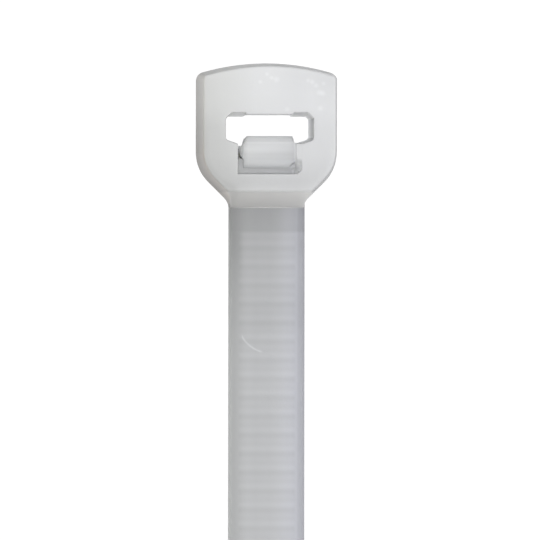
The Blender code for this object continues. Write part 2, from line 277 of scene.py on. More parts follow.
@dataclass
class Strap:
    """The strap and its tail, crowned above and channelled below, in millimetres."""

    length: float
    width: float = 2.55
    thickness: float = 0.90
    crown: float = 0.08
    edge_radius: float = 0.12
    rail_radius: float = 0.05
    rail_width: float = 0.25
    tail_length: float = 20.0
    tail_width: float = 2.00
    tail_thickness: float = 0.70
    tip_length: float = 2.50
    tip_thickness: float = 0.45
    tip_sweep: float = math.radians(75)
    grip_pitch: float = 1.00
    grip_depth: float = 0.12
    grip_margin: float = 0.30
    overrun: float = 0.20
    crown_steps: int = 16
    edge_steps: int = 5
    tip_steps: int = 14

    @property
    def half(self) -> float:
        """Half the strap's width."""
        return self.width / 2

    @property
    def channel_half(self) -> float:
        """Half the width of the toothed channel between the rails."""
        return self.half - self.rail_width

    @property
    def tail_start(self) -> float:
        """Where the tail starts to narrow, along the tie."""
        return self.tail_length - self.length / 2

    @property
    def tip_start(self) -> float:
        """Where the tail's rounded tip starts, along the tie."""
        return self.tip_length - self.length / 2

    def section(self, along: float, half: float, thickness: float) -> Ring:
        """One cross-section of the strap.

        Args:
            along: Where it lies along the tie.
            half: Half its width.
            thickness: Its height at the middle.

        Returns:
            The closed ring, flat below and crowned above.
        """
        crown = self.crown * (half / self.half) ** 2
        flank = half - self.edge_radius
        foot = (half - self.rail_radius, self.rail_radius)
        shoulder = (flank, thickness - crown - self.edge_radius)
        right = arc(foot, self.rail_radius, -QUARTER, 0, self.edge_steps)
        right += arc(shoulder, self.edge_radius, 0, QUARTER, self.edge_steps)
        for step in range(1, self.crown_steps // 2):
            share = 1 - 2 * step / self.crown_steps
            right.append((flank * share, thickness - crown * share**2))
        right.append((0.0, thickness))
        return [Vector((x, along, z)) for x, z in mirrored(right)]

    def build(self, root: float) -> Item:
        """Make the strap without its teeth.

        Args:
            root: How far along the tie it runs on into the head.

        Returns:
            The blank.
        """
        tail_half = self.tail_width / 2
        rings = [
            self.section(root, self.half, self.thickness),
            self.section(self.tail_start, self.half, self.thickness),
            self.section(self.tip_start, tail_half, self.tail_thickness),
        ]
        for step in range(1, self.tip_steps + 1):
            angle = self.tip_sweep * step / self.tip_steps
            along = self.tip_start - self.tip_length * math.sin(angle) / math.sin(self.tip_sweep)
            thinning = (self.tail_thickness - self.tip_thickness) * (1 - math.cos(angle))
            half = tail_half * math.cos(angle)
            rings.append(self.section(along, half, self.tail_thickness - thinning))
        return Bench.loft("strap_blank", rings)

    def grip(self) -> Item:
        """The cutter for the cross grooves in both faces of the tail.

        Returns:
            One object that holds every groove.
        """
        half = self.tail_width / 2 - self.grip_margin
        count = int((self.tail_length - self.tip_length) / self.grip_pitch)
        thinning = (self.thickness - self.tail_thickness) / (self.tail_start - self.tip_start)
        reach = self.grip_pitch / 2
        grooves = []
        for number in range(count):
            along = self.tail_start - (number + 0.5) * self.grip_pitch
            upper = self.thickness - (self.tail_start - along) * thinning
            for level, way in ((upper, 1), (0.0, -1)):
                mouth = level + way * self.overrun
                floor = level - way * self.grip_depth
                profile = [(along - reach, mouth), (along, floor), (along + reach, mouth)]
                grooves.append(Bench.across("groove", profile, half))
        return Bench.gather(*grooves)


@dataclass
class Rack:
    """The ratchet teeth under the strap: one gap is modelled, and the rest are copies of it."""

    strap: Strap
    start: float
    pitch: float = 0.63
    depth: float = 0.28
    crest: float = 0.08
    rake: float = 0.03
    below_rail: float = 0.04
    overrun: float = 0.20
    edge_radius: float = 0.02
    edge_steps: int = 2
    weld: float = 0.0002
    sliver: float = 0.002

    @property
    def root_height(self) -> float:
        """Height of the tooth roots above the table."""
        return self.below_rail + self.depth

    @property
    def count(self) -> int:
        """How many teeth fit between the neck and the tail."""
        return int((self.start - self.strap.tail_start) / self.pitch)

    def build(self) -> Item:
        """Make the cutter for the whole rack.

        Returns:
            One sawtooth solid, steep towards the head.
        """
        half = self.strap.channel_half
        bpy.ops.mesh.primitive_grid_add(x_subdivisions=1, y_subdivisions=3, size=2)
        strip = bpy.context.active_object
        strip.name = "rack_cutter"
        crest = self.start - self.rake
        rows = (
            (self.start - self.pitch, self.root_height),
            (crest - self.crest, self.below_rail),
            (crest, self.below_rail),
            (self.start, self.root_height),
        )
        for corner in strip.data.vertices:
            row = round((corner.co.y + 1) / 2 * (len(rows) - 1))
            corner.co = Vector((math.copysign(half, corner.co.x), *rows[row]))
        Bench.apply(
            strip,
            "ARRAY",
            count=self.count,
            use_relative_offset=False,
            use_constant_offset=True,
            constant_offset_displace=(0.0, -self.pitch, 0.0),
            use_merge_vertices=True,
            merge_threshold=self.weld,
        )
        self.round_teeth(strip)
        drop = self.root_height + self.overrun
        with Bench.editing():
            bpy.ops.mesh.select_all(action="SELECT")
            bpy.ops.mesh.extrude_region_move(TRANSFORM_OT_translate={"value": (0, 0, -drop)})
            bpy.ops.transform.resize(
                value=(1, 1, 0), center_override=(0, 0, -self.overrun), orient_type="GLOBAL"
            )
        Bench.face_outwards(strip)
        return strip

    def round_teeth(self, strip: Item) -> None:
        """Round the crests and roots of a toothed strip, apart from its two ends.

        Args:
            strip: The open sawtooth sheet.
        """
        low = self.start - self.count * self.pitch
        mesh = strip.data
        Bench.take(strip)
        for item in (*mesh.vertices, *mesh.edges, *mesh.polygons):
            item.select = False
        for edge in mesh.edges:
            first, second = (mesh.vertices[corner] for corner in edge.vertices)
            inside = low + self.edge_radius < first.co.y < self.start - self.edge_radius
            if inside and abs(first.co.y - second.co.y) < self.sliver:
                edge.select = first.select = second.select = True
        with Bench.editing():
            bpy.ops.mesh.select_mode(type="EDGE")
            bpy.ops.mesh.bevel(offset=self.edge_radius, segments=self.edge_steps, affect="EDGES")
            bpy.ops.mesh.select_mode(type="VERT")


@dataclass
class Opening:
    """The slot through the head and the pocket that the pawl stands in, in millimetres.

    Lengths run from the neck line towards the far end of the head.
    """

    strap: Strap
    head_height: float
    neck_line: float
    front_wall: float = 1.125
    pocket_length: float = 1.01
    pocket_clearance: float = 0.05
    pocket_floor: float = 0.95
    pocket_floor_length: float = 0.62
    pocket_sill: float = 0.42
    sill_back: float = 0.10
    side_clearance: float = 0.115
    clearance: float = 0.03
    draft: float = math.radians(1.5)
    near_draft: float = math.radians(1.7)
    near_cut: float = 0.07
    corner_cut: float = 0.08
    corner_flare: float = 0.12
    slant: float = math.radians(18.6)
    end_taper: float = 0.066
    end_taper_run: float = 0.06
    end_flat_width: float = 1.52
    funnel_width: float = 0.20
    funnel_depth: float = 0.30
    lip_radius: float = 0.02
    lip_steps: int = 4
    sliver: float = 0.002
    overrun: float = 0.20

    @property
    def pocket_half(self) -> float:
        """Half the pocket's width."""
        return self.strap.channel_half + self.pocket_clearance

    @property
    def base_half(self) -> float:
        """Half the slot's width at the table."""
        return self.strap.half + self.side_clearance

    @property
    def near(self) -> float:
        """Where the slot meets the pocket."""
        return self.front_wall + self.pocket_length

    @property
    def far(self) -> float:
        """The slot's far wall, which the strap's smooth face slides on."""
        seat = self.near + (self.strap.half - self.pocket_half) * math.tan(self.slant)
        return seat + self.strap.thickness + self.clearance

    @property
    def clear(self) -> float:
        """A height that is clear of the head."""
        return self.head_height + self.overrun

    def prism(self, name: str, profile: Plan, half: float) -> Item:
        """A prism across the tie, from a side view measured from the neck line."""
        return Bench.across(name, [(self.neck_line + y, z) for y, z in profile], half)

    def stack(self, name: str, plans: Sequence[tuple[Plan, float]]) -> Item:
        """A solid through outlines in plan, each with its height, measured from the neck line."""
        rings = [[Vector((x, self.neck_line + y, z)) for x, y in plan] for plan, z in plans]
        return Bench.loft(name, rings)

    def half_at(self, height: float) -> float:
        """Half the slot's width at a height."""
        return self.base_half + height * math.tan(self.draft)

    def far_side(self, height: float, widening: float) -> Plan:
        """The slot's right wall and the right half of its far wall.

        Args:
            height: Height above the table.
            widening: How far the walls stand back from their plain place.

        Returns:
            The points from the side to the middle.
        """
        side = self.half_at(height) + widening
        far = self.far + widening
        drawn = far + self.end_taper * (2 * height / self.head_height - 1)
        flat = self.end_flat_width / 2
        cut = self.corner_cut + self.corner_flare * height / self.head_height
        corner = [(side, drawn - cut), (side - cut, drawn)]
        return corner + [(flat + self.end_taper_run, drawn), (flat, far)]

    def near_side(self, height: float, widening: float) -> Plan:
        """The right shoulder beside the pawl, which leans in towards the table.

        Args:
            height: Height above the table.
            widening: How far the walls stand back from their plain place.

        Returns:
            The points from the pocket to the side.
        """
        depth = min(self.head_height, max(0.0, self.head_height - height))
        near = self.near + depth * math.tan(self.near_draft) - widening
        side = self.half_at(height) + widening
        turn = side - self.near_cut
        shoulder = near + (turn - widening - self.pocket_half) * math.tan(self.slant)
        return [(self.pocket_half, near), (turn, shoulder), (side, shoulder + self.near_cut)]

    def slot_outline(self, height: float, widening: float) -> Plan:
        """The slot alone in plan, with its shoulders beside the pawl.

        Args:
            height: Height above the table.
            widening: How far the walls stand back from their plain place.

        Returns:
            The closed outline.
        """
        right = [(self.pocket_half, self.near - self.sill_back - widening)]
        right += self.near_side(height, widening)
        return mirrored(right + self.far_side(height, widening))

    def lip_outline(self, height: float, widening: float) -> Plan:
        """The slot and the pocket together in plan.

        Args:
            height: Height above the table.
            widening: How far the walls stand back from their plain place.

        Returns:
            The closed outline.
        """
        corner, *shoulder = self.near_side(height, widening)
        pocket = self.pocket_half + widening
        right = [(pocket, self.front_wall - widening), (pocket, corner[1]), *shoulder]
        return mirrored(right + self.far_side(height, widening))

    def slot_cutter(self) -> Item:
        """The slot right through the head.

        Returns:
            The cutter, flared at the slot's mouth below.
        """
        flares = (
            (-self.overrun, self.funnel_width),
            (0.0, self.funnel_width),
            (self.funnel_depth, 0.0),
            (self.clear, 0.0),
        )
        return self.stack("slot_cutter", [(self.slot_outline(z, flare), z) for z, flare in flares])

    def pocket_cutter(self) -> Item:
        """The pocket, open above.

        Returns:
            The cutter, with a floor that drops to the slot.
        """
        inside_slot = (self.near + self.far) / 2
        floor_end = self.front_wall + self.pocket_floor_length
        fall = (self.pocket_floor - self.pocket_sill) / (self.near - floor_end)
        sill = self.pocket_floor - fall * (inside_slot - floor_end)
        profile = [(self.front_wall, self.clear), (self.front_wall, self.pocket_floor)]
        profile += [(floor_end, self.pocket_floor), (inside_slot, sill), (inside_slot, self.clear)]
        return self.prism("pocket_cutter", profile, self.pocket_half)

    def lip_cutter(self) -> Item:
        """What rounds the opening's upper rim.

        Returns:
            The cutter.
        """
        start = self.head_height - self.lip_radius
        plans = [(self.lip_outline(start, -self.sliver), start - self.sliver)]
        for step in range(self.lip_steps + 1):
            angle = QUARTER * step / self.lip_steps
            z = start + self.lip_radius * math.sin(angle)
            plans.append((self.lip_outline(z, self.lip_radius * (1 - math.cos(angle))), z))
        plans.append((self.lip_outline(self.clear, self.lip_radius), self.clear))
        return self.stack("lip_cutter", plans)


@dataclass
class Pawl:
    """The pawl: a toothed wedge on a thin hinge, with a narrowed nose and a chamfered ear each side."""

    opening: Opening
    rack: Rack
    drop: float = 0.67
    bite: float = 0.14
    back_gap: float = 0.205
    half: float = 0.86
    ear_half: float = 0.995
    ear_back: float = 1.757
    ear_front: float = 1.95
    ear_slant: float = 0.035
    ear_chamfer: float = math.radians(40)
    nose_half: float = 0.80
    nose_toe: float = 0.08
    nose_length: float = 0.19
    nose_flare: float = 0.07
    nose_flare_depth: float = 0.38
    shoulder_flare: float = 0.07
    tooth_depth: float = 0.20
    tooth_rake: float = 0.02
    lean: float = 0.07
    teeth: int = 3
    brow: Stops = ((0.22, 0.0), (0.13, 0.016), (0.05, 0.05))
    brow_drop: float = 0.085
    back_radius: float = 0.40
    back_tilt: float = math.radians(55)
    back_steps: int = 5
    crown_radius: float = 1.18
    crown_tilt: float = math.radians(20)
    crown_steps: int = 6
    hinge: float = 0.48
    edge_radius: float = 0.025
    edge_steps: int = 3
    edge_angle: float = math.radians(36)
    dent_size: Triple = (0.14, 0.040, 0.080)
    dent_place: Pair = (0.775, 1.455)
    dent_turn: float = math.radians(41)
    dent_steps: int = 24

    @property
    def top(self) -> float:
        """Height of the pawl's top above the table."""
        return self.opening.head_height - self.drop

    @property
    def tip(self) -> float:
        """How far the first tooth reaches, from the neck line."""
        return self.opening.far - self.opening.strap.thickness + self.rack.below_rail + self.bite

    @property
    def crown_start(self) -> float:
        """Where the top starts to fall towards the back, from the neck line."""
        back = self.opening.front_wall + self.back_gap
        bend = self.back_radius * (math.sin(self.back_tilt) - math.sin(self.crown_tilt))
        return back + bend + self.crown_radius * math.sin(self.crown_tilt)

    def height_at(self, along: float) -> float:
        """Height of the pawl's crowned top, from the neck line."""
        behind = max(0.0, self.crown_start - along)
        return self.top - self.crown_radius + math.sqrt(self.crown_radius**2 - behind**2)

    def profile(self) -> Plan:
        """The pawl from the side.

        Returns:
            Points along and up, from the back round the top to the hinge.
        """
        opening = self.opening
        crown_centre = (self.crown_start, self.top - self.crown_radius)
        turned = QUARTER + self.crown_tilt
        crown = arc(crown_centre, self.crown_radius, turned, QUARTER, self.crown_steps)
        centre = (
            crown[0][0] - self.back_radius * math.cos(turned),
            crown[0][1] - self.back_radius * math.sin(turned),
        )
        points = arc(centre, self.back_radius, QUARTER + self.back_tilt, turned, self.back_steps)
        points += crown[1:]
        points += [(self.tip - behind, self.top - fall) for behind, fall in self.brow]
        for tooth in range(self.teeth):
            crest = self.tip - tooth * self.lean
            height = self.top - self.brow_drop - tooth * self.rack.pitch
            if tooth:
                points.append((crest - self.tooth_depth, height + self.tooth_rake))
            points.append((crest, height))
        foot_height = opening.pocket_sill / 2
        foot = opening.near - self.tooth_depth
        share = (opening.pocket_floor - foot_height) / (height - foot_height)
        hinge_back = foot + (crest - foot) * share - self.hinge
        points += [(foot, foot_height), (hinge_back, foot_height)]
        return points + [(hinge_back, opening.pocket_floor)]

    def nose_plan(self, height: float) -> Plan:
        """What is dropped at the right of the nose, in front of a 45 degree shoulder.

        Args:
            height: Height above the table.

        Returns:
            Points across and along.
        """
        outer = 2 * self.opening.pocket_half
        depth = min(1.0, (self.top - height) / self.nose_flare_depth)
        half = self.nose_half + self.nose_flare * depth
        start = self.tip - self.nose_length - self.shoulder_flare * depth
        front = self.tip + self.opening.overrun
        plan = [(half, start + self.nose_half - half), (half - self.nose_toe, front)]
        return plan + [(outer, front), (outer, start + self.nose_half - outer)]

    def back_plan(self, _: float) -> Plan:
        """What is dropped at the right of the back and the ear.

        Args:
            _: The height, which makes no difference here.

        Returns:
            Points across and along.
        """
        outer = self.opening.pocket_half + self.opening.overrun
        rear = self.ear_back - (self.ear_half - self.half)
        behind = self.opening.front_wall - self.opening.overrun
        plan = [(self.half, behind), (self.half, rear), (self.ear_half - self.ear_slant, self.ear_back)]
        return plan + [(self.ear_half, self.ear_front), (outer, self.ear_front), (outer, behind)]

    def narrow(self, pawl: Item, levels: Sequence[float], plan_at: Callable[[float], Plan]) -> None:
        """Narrow both flanks of the pawl.

        Args:
            pawl: The pawl's block.
            levels: Heights of the cutter's plans, lowest first.
            plan_at: Gives, for a height, what is dropped at the right.
        """
        sides = []
        for side in (1, -1):
            plans = [([(side * x, y) for x, y in plan_at(z)], z) for z in levels]
            sides.append(self.opening.stack("flank_cutter", plans))
        Bench.combine(pawl, Bench.gather(*sides), Join.CUT)

    def build(self) -> Item:
        """Make the pawl, ready to join to the floor of its pocket.

        Returns:
            The pawl with rounded edges.
        """
        opening = self.opening
        pawl = opening.prism("pawl", self.profile(), opening.pocket_half + opening.overrun)
        for half, lean in ((self.ear_half, 0.0), (self.half, self.ear_chamfer)):
            place = Vector((half, 0, self.top))
            way = Vector((math.cos(lean), 0, math.sin(lean)))
            for side in (1, -1):
                flip = Vector((side, 1, 1))
                Bench.shave(pawl, place * flip, way * flip)
        low, high = opening.pocket_floor - opening.overrun, self.top + opening.overrun
        self.narrow(pawl, (low, self.top - self.nose_flare_depth, high), self.nose_plan)
        self.narrow(pawl, (low, high), self.back_plan)
        Bench.apply(
            pawl,
            "BEVEL",
            width=self.edge_radius,
            segments=self.edge_steps,
            limit_method="ANGLE",
            angle_limit=self.edge_angle,
            use_clamp_overlap=True,
        )
        return pawl

    def dent(self) -> Item:
        """The cutter for the small dent at the pawl's back right corner.

        Returns:
            A long ball.
        """
        across, along = self.dent_place
        bpy.ops.mesh.primitive_uv_sphere_add(
            segments=self.dent_steps,
            ring_count=self.dent_steps // 2,
            radius=1,
            location=(across, self.opening.neck_line + along, self.height_at(along)),
        )
        dent = bpy.context.active_object
        dent.name = "dent_cutter"
        dent.scale = self.dent_size
        dent.rotation_euler = (0, 0, self.dent_turn)
        bpy.ops.object.transform_apply(location=True, rotation=True, scale=True)
        return dent


@dataclass
class Flash:
    """The thin web of nylon that the mould left round the pawl: high at its right, low behind it.

    It climbs across the tie between the two places named step beside the pawl, and between those
    named rise behind it, with a rounded corner that runs along between those named corner.
    """

    pawl: Pawl
    front: float = 2.32
    full: float = 1.66
    low: float = 1.16
    notch: Pair = (0.935, 2.307)
    notch_radius: float = 0.167
    notch_steps: int = 12
    notch_depth: float = 2.0
    notch_rise: float = 1.0
    lap: float = 0.06
    edge_depth: float = 0.03
    skin: float = 0.004
    dip: float = 0.012
    step: Pair = (0.880, 0.890)
    undercut: float = math.tan(math.radians(2.9))
    rise: Pair = (0.79, 1.085)
    rise_fillet: float = 1.5
    corner: Pair = (1.36, 1.12)
    corner_blend: float = 2.0
    below_top: float = 0.003
    front_lean: float = 0.045
    thickness: float = 0.30
    sink: float = 0.10
    shelf_drop: float = 0.42
    shelf_thickness: float = 0.25
    shelf_front: float = 1.65
    rise_steps: int = 44
    stations: int = 40

    @property
    def back(self) -> float:
        """The web's rear end, inside the pocket's end wall."""
        return self.pawl.opening.front_wall - self.sink / 2

    @staticmethod
    def share(value: float, start: float, end: float) -> float:
        """How much of the way from a start to an end a value has come, from 0 to 1."""
        return min(1.0, max(0.0, (value - start) / (end - start)))

    def ease(self, value: float, start: float, end: float) -> float:
        """The same share, with soft ends."""
        share = self.share(value, start, end)
        return share * share * (3 - 2 * share)

    def level(self, across: float, along: float) -> float:
        """Height of the web, which climbs from the pawl's top or from the shelf behind it.

        Args:
            across: Place from the middle of the strap.
            along: Place from the neck line.

        Returns:
            The height above the table.
        """
        pawl = self.pawl
        top = pawl.opening.head_height - self.below_top
        inner = pawl.height_at(along) + self.skin
        beside = inner + (top - inner) * self.ease(across, *self.step)
        shelf = pawl.top - self.shelf_drop - self.dip
        start, end = self.rise
        side = max(0.0, (across - start) / (end - start))
        fore = self.share(along, *self.corner) * min(1.0, side * self.corner_blend)
        behind = shelf + (top - shelf) * min(1.0, math.hypot(side, fore)) ** self.rise_fillet
        return behind + (beside - behind) * self.ease(along, self.low, self.full)

    def section(self, along: float) -> Ring:
        """One cross-section of the web.

        Args:
            along: Place from the neck line.

        Returns:
            The closed ring, from the bottom round by the pocket's wall.
        """
        opening = self.pawl.opening
        inner = self.pawl.half - self.lap
        outer = opening.pocket_half + self.sink
        foot = self.level(inner, along)
        low = foot - self.thickness
        places = [(inner - self.lap, low), (outer, low)]
        for step in range(self.rise_steps + 1):
            across = outer + (inner - outer) * step / self.rise_steps
            height = self.level(across, along)
            places.append((across + (opening.head_height - height) * self.undercut, height))
        places.append((inner - self.lap, foot - self.edge_depth))
        return [Vector((x, opening.neck_line + along, z)) for x, z in places]

    def punch(self) -> Item:
        """The cutter for the web's rounded front, which leans back towards the table.

        Returns:
            The cutter.
        """
        opening = self.pawl.opening
        side, beyond = opening.pocket_half + 2 * self.sink, self.front + self.sink
        corner = arc(self.notch, self.notch_radius, math.pi, 3 * QUARTER, self.notch_steps)
        edge = corner[0][0] - self.lap
        plan = [(edge, beyond), (edge, corner[0][1]), *corner, (side, corner[-1][1]), (side, beyond)]
        top = opening.head_height
        lean = self.notch_depth * self.front_lean
        plans = [([(x, lean + y) for x, y in plan], top - self.notch_depth)]
        plans += [(plan, top), (plan, top + self.notch_rise)]
        return opening.stack("notch", plans)

    def shelf(self) -> Item:
        """The low part of the web, behind the pawl and at the left of its back.

        Returns:
            A flat block.
        """
        high = self.pawl.top - self.shelf_drop
        low = high - self.shelf_thickness
        profile = [(self.back, low), (self.shelf_front, low), (self.shelf_front, high)]
        half = self.pawl.opening.pocket_half + self.sink
        return self.pawl.opening.prism("flash_shelf", profile + [(self.back, high)], half)

    def build(self) -> Item:
        """Make the web, ready to join to the head.

        Returns:
            The web with its shelf.
        """
        reach = self.front - self.back
        stations = [self.back + reach * number / self.stations for number in range(self.stations + 1)]
        web = Bench.loft("flash_web", [self.section(along) for along in stations])
        Bench.combine(web, self.punch(), Join.CUT)
        Bench.combine(web, self.shelf(), Join.ADD)
        return web


@dataclass
class Head:
    """The head's block: straight drafted sides, 45 degree shoulders and a bowed far end."""

    opening: Opening
    half: float
    end_wall: float = 1.76
    draft: float = math.radians(2.3)
    top_radius: float = 0.075
    base_radius: float = 0.08
    neck_radius: float = 0.48
    shoulder_angle: float = math.radians(45)
    shoulder_radius: float = 1.42
    end_radius: float = 7.75
    end_corner_radius: float = 0.30
    least_radius: float = 0.02
    ramp_run: float = 0.54
    ramp_radius: float = 0.06
    ramp_turn: float = math.radians(95)
    round_steps: int = 6
    corner_steps: int = 8
    neck_steps: int = 8
    shoulder_steps: int = 14
    end_steps: int = 14

    @property
    def length(self) -> float:
        """From the neck line to the middle of the far end."""
        return self.opening.far + self.end_wall

    def shoulder_centre(self, inset: float) -> Pair:
        """Middle of the right shoulder's arc.

        Args:
            inset: How far the outline is drawn in.

        Returns:
            The place across and along.
        """
        neck_radius = self.neck_radius + inset
        radius = self.shoulder_radius - inset
        turn = 1 - math.cos(self.shoulder_angle)
        slope_across = self.half - self.opening.strap.half - (neck_radius + radius) * turn
        slope_along = slope_across / math.tan(self.shoulder_angle)
        along = (neck_radius + radius) * math.sin(self.shoulder_angle) + slope_along
        return self.half - inset - radius, along

    def outline(self, inset: float) -> Plan:
        """The head in plan.

        Args:
            inset: How far the outline is drawn in, with every arc still tangent.

        Returns:
            The closed outline.
        """
        half = self.half - inset
        neck_half = self.opening.strap.half - inset
        neck_radius = self.neck_radius + inset
        shoulder_radius = self.shoulder_radius - inset
        corner_radius = max(self.end_corner_radius - inset, self.least_radius)
        end_radius = self.end_radius - inset
        end_centre = self.length - self.end_radius
        reach = end_radius - corner_radius
        angle = math.acos((half - corner_radius) / reach)
        corner = (half - corner_radius, end_centre + reach * math.sin(angle))

        start = math.pi - self.shoulder_angle
        right = arc((neck_half + neck_radius, 0), neck_radius, math.pi, start, self.neck_steps)
        shoulder = self.shoulder_centre(inset)
        right += arc(shoulder, shoulder_radius, -self.shoulder_angle, 0, self.shoulder_steps)
        right += arc(corner, corner_radius, 0, angle, self.corner_steps)
        end = arc((0, end_centre), end_radius, angle, QUARTER, self.end_steps)
        return mirrored(right + end[1:-1] + [(0.0, end_centre + end_radius)])

    def levels(self) -> Plan:
        """How the head's rounded lower and upper edges are stepped.

        Returns:
            Insets and heights of the head's rings, from the table up.
        """
        foot = arc((0, 0), self.base_radius, 0, QUARTER, self.round_steps)
        levels = [(self.base_radius - b, self.base_radius - a) for a, b in foot]
        for a, b in arc((0, 0), self.top_radius, 0, QUARTER, self.round_steps):
            height = self.opening.head_height - self.top_radius + b
            drawn_in = (height - self.base_radius) * math.tan(self.draft)
            levels.append((drawn_in + self.top_radius - a, height))
        return levels

    def ramp_cutter(self) -> Item:
        """What slopes the head down to the strap.

        Returns:
            The cutter, with a softly rounded upper edge.
        """
        strap, height = self.opening.strap, self.opening.head_height
        foot = strap.thickness - strap.crown - strap.edge_radius
        lean = math.atan2(self.ramp_run, height - foot)
        climb = height - foot - self.ramp_radius * (1 - math.sin(lean))
        centre = (
            climb * math.tan(lean) + self.ramp_radius * math.cos(lean),
            height - self.ramp_radius,
        )
        rim = arc(centre, self.ramp_radius, math.pi - lean, self.ramp_turn, self.round_steps)
        before, clear = self.opening.overrun, self.opening.clear
        profile = [(-before, foot - before / math.tan(lean))] + rim
        profile += [(rim[-1][0], clear), (-before, clear)]
        return self.opening.prism("ramp_cutter", profile, self.half + before)

    def build(self) -> Item:
        """Make the block and slope it down to the strap.

        Returns:
            The head without its slot.
        """
        plans = [(self.outline(inset), z) for inset, z in self.levels()]
        block = self.opening.stack("head_block", plans)
        Bench.combine(block, self.ramp_cutter(), Join.CUT)
        return block


class Term:
    """A number in a shader's node graph, reckoned with by plain arithmetic."""

    def __init__(self, graph: "Graph", socket: Socket) -> None:
        """Hold a socket of a graph."""
        self.graph = graph
        self.socket = socket

    def __add__(self, other: "Term | float") -> "Term":
        """The sum."""
        return self.graph.math("ADD", self, other)

    def __sub__(self, other: "Term | float") -> "Term":
        """The difference."""
        return self.graph.math("SUBTRACT", self, other)

    def __rsub__(self, other: float) -> "Term":
        """What is left of a plain number."""
        return self.graph.math("SUBTRACT", other, self)

    def __mul__(self, other: "Term | float") -> "Term":
        """The product."""
        return self.graph.math("MULTIPLY", self, other)

    __rmul__ = __mul__

    def __abs__(self) -> "Term":
        """The number without its sign."""
        return self.graph.math("ABSOLUTE", self)

    def above(self, limit: float) -> "Term":
        """1 where the number is greater than a limit, and 0 elsewhere."""
        return self.graph.math("GREATER_THAN", self, limit)

    def below(self, limit: float) -> "Term":
        """1 where the number is less than a limit, and 0 elsewhere."""
        return self.graph.math("LESS_THAN", self, limit)

    def at_least(self, other: "Term | float") -> "Term":
        """The greater of two numbers."""
        return self.graph.math("MAXIMUM", self, other)

    def sine(self) -> "Term":
        """The sine of an angle in radians."""
        return self.graph.math("SINE", self)

    def hypot(self, other: "Term") -> "Term":
        """The long side of a right triangle on two numbers."""
        return self.graph.math("SQRT", self * self + other * other)

    def blend(self, first: "Term | float", second: "Term | float") -> "Term":
        """What lies between two numbers, by this share of the way."""
        return self.graph.math("MULTIPLY_ADD", second - first, self, first)

    def rise(self, start: float, end: float) -> "Term":
        """How far the number has come on its way from a start to an end.

        Args:
            start: Where the share is 0.
            end: Where the share is 1.

        Returns:
            The share, with soft ends.
        """
        node = self.graph.add("MapRange", {"Value": self, "From Min": start, "From Max": end})
        node.interpolation_type = "SMOOTHSTEP"
        return Term(self.graph, node.outputs[0])

    def curve(self, stops: Stops) -> "Term":
        """A tone that follows straight stretches between stops.

        Args:
            stops: Places in rising order, each with its tone.

        Returns:
            The tone.
        """
        low, high = stops[0][0], stops[-1][0]
        share = self.graph.math("DIVIDE", self - low, high - low)
        node = self.graph.add("ValToRGB", {"Fac": share})
        elements = node.color_ramp.elements
        for number, (place, tone) in enumerate(stops):
            at = (place - low) / (high - low)
            point = elements[number] if number < 2 else elements.new(at)
            point.position = at
            point.color = (tone, tone, tone, 1)
        return Term(self.graph, node.outputs["Color"])


class Graph:
    """The nodes of a material or of the world, and the links between them."""

    def __init__(self, owner: bpy.types.ID) -> None:
        """Turn an owner's nodes on and take them up."""
        owner.use_nodes = True
        self.nodes = owner.node_tree.nodes
        self.links = owner.node_tree.links

    def feed(self, value: object, socket: Socket) -> None:
        """Fill an input.

        Args:
            value: A term, a socket, a node whose first output is meant, or a plain value.
            socket: The input.
        """
        if isinstance(value, Term):
            value = value.socket
        elif isinstance(value, bpy.types.Node):
            value = value.outputs[0]
        if isinstance(value, Socket):
            self.links.new(value, socket)
        else:
            socket.default_value = value

    def add(self, kind: str, inputs: dict[str | int, object]) -> bpy.types.Node:
        """Add a node.

        Args:
            kind: Its kind, without the words ShaderNode.
            inputs: What fills its inputs, by name or number.

        Returns:
            The node.
        """
        node = self.nodes.new("ShaderNode" + kind)
        for name, value in inputs.items():
            self.feed(value, node.inputs[name])
        return node

    def math(self, operation: str, *values: Term | float) -> Term:
        """Reckon with a Math node.

        Args:
            operation: What the node does.
            *values: What it works on.

        Returns:
            The result.
        """
        node = self.add("Math", dict(enumerate(values)))
        node.operation = operation
        return Term(self, node.outputs[0])

    def split(self, vector: object) -> tuple[Term, ...]:
        """A vector's three parts."""
        return tuple(Term(self, part) for part in self.add("SeparateXYZ", {0: vector}).outputs)

    def noise(self, place: object, scale: float, detail: float) -> Term:
        """Cloudy noise about zero, with a spread of about one either way."""
        node = self.add("TexNoise", {"Vector": place, "Scale": scale, "Detail": detail})
        return Term(self, node.outputs[0]) * 2.0 - 1.0

    def seen_by(self, *rays: str) -> Term:
        """Tell some kinds of ray from the others.

        Args:
            *rays: Names of the kinds.

        Returns:
            1 for the kinds named and 0 for others.
        """
        path = self.add("LightPath", {}).outputs
        total, *rest = (Term(self, path[f"Is {ray} Ray"]) for ray in rays)
        for ray in rest:
            total = total.at_least(ray)
        return total


@dataclass(frozen=True)
class Spot:
    """A place on the tie in millimetres from the neck line, and how the surface faces there."""

    across: Term
    along: Term
    up: Term
    facing: tuple[Term, ...]

    def distance(self, place: Pair) -> Term:
        """How far it lies in plan from a fixed place."""
        return (self.across - place[0]).hypot(self.along - place[1])


